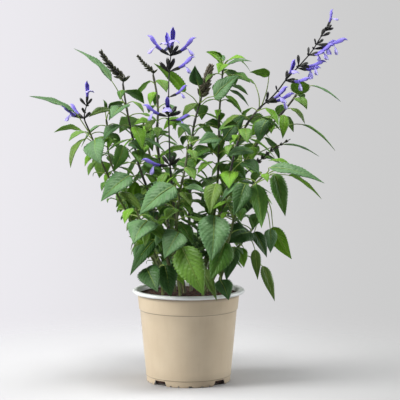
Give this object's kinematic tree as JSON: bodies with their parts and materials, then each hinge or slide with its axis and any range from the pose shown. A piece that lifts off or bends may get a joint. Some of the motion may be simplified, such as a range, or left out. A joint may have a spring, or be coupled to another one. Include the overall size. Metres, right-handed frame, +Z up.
{
  "type": "potted flowering sage plant",
  "caption": "Blue-flowered sage growing in a beige round nursery pot with a rolled white rim, dark flower spikes, bud spikes and opposite toothed leaves.",
  "frame": {"origin": "centre of the pot's flat underside, where it stands", "axes": "+Z up the plant, -Y towards the plant's front, +X to the right seen from the front"},
  "size_m": [0.4693, 0.3053, 0.5608],
  "materials": {
    "pot_plastic": "beige outside, white rim and inside, satin",
    "potting_mix": "dark red-brown bark and peat crumbs",
    "stem_green": "green-brown at the foot, nearly black under the flowers",
    "leaf_green": "grey-green above, yellow-green below, soft sheen",
    "petal_violet": "violet-blue, velvety",
    "calyx_dark": "nearly black with an olive cast"
  },
  "bodies": {
    "root": {"pot": "pot_plastic", "soil": "potting_mix", "stem_far_left": "stem_green", "stem_left_leafy": "stem_green", "stem_low_left": "stem_green", "stem_left_bud": "stem_green", "stem_small_bud": "stem_green", "stem_front": "stem_green", "stem_centre_flower": "stem_green", "stem_centre_bud": "stem_green", "stem_tall_leafy": "stem_green", "stem_right_flower": "stem_green", "stem_right_branch": "stem_green", "stem_right_leafy": "stem_green", "stem_low_right": "stem_green", "stem_back_left": "stem_green", "stem_back_right": "stem_green", "flower_spike_centre": "petal_violet", "flower_spike_right": "petal_violet", "flower_spike_left": "petal_violet", "bud_spike_left": "calyx_dark", "bud_spike_small": "calyx_dark", "bud_spike_centre": "calyx_dark", "bud_spike_right": "calyx_dark", "leaf_01": "leaf_green", "leaf_02": "leaf_green", "leaf_03": "leaf_green", "leaf_04": "leaf_green", "leaf_05": "leaf_green", "leaf_06": "leaf_green", "leaf_07": "leaf_green", "leaf_08": "leaf_green", "leaf_09": "leaf_green", "leaf_10": "leaf_green", "leaf_11": "leaf_green", "leaf_12": "leaf_green", "leaf_13": "leaf_green", "leaf_14": "leaf_green", "leaf_15": "leaf_green", "leaf_16": "leaf_green", "leaf_17": "leaf_green", "leaf_18": "leaf_green", "leaf_19": "leaf_green", "leaf_20": "leaf_green", "leaf_21": "leaf_green", "leaf_22": "leaf_green", "leaf_23": "leaf_green", "leaf_24": "leaf_green", "leaf_25": "leaf_green", "leaf_26": "leaf_green", "leaf_27": "leaf_green", "leaf_28": "leaf_green", "leaf_29": "leaf_green", "leaf_30": "leaf_green", "leaf_31": "leaf_green", "leaf_32": "leaf_green", "leaf_33": "leaf_green", "leaf_34": "leaf_green", "leaf_35": "leaf_green", "leaf_36": "leaf_green"}
  },
  "joints": []
}
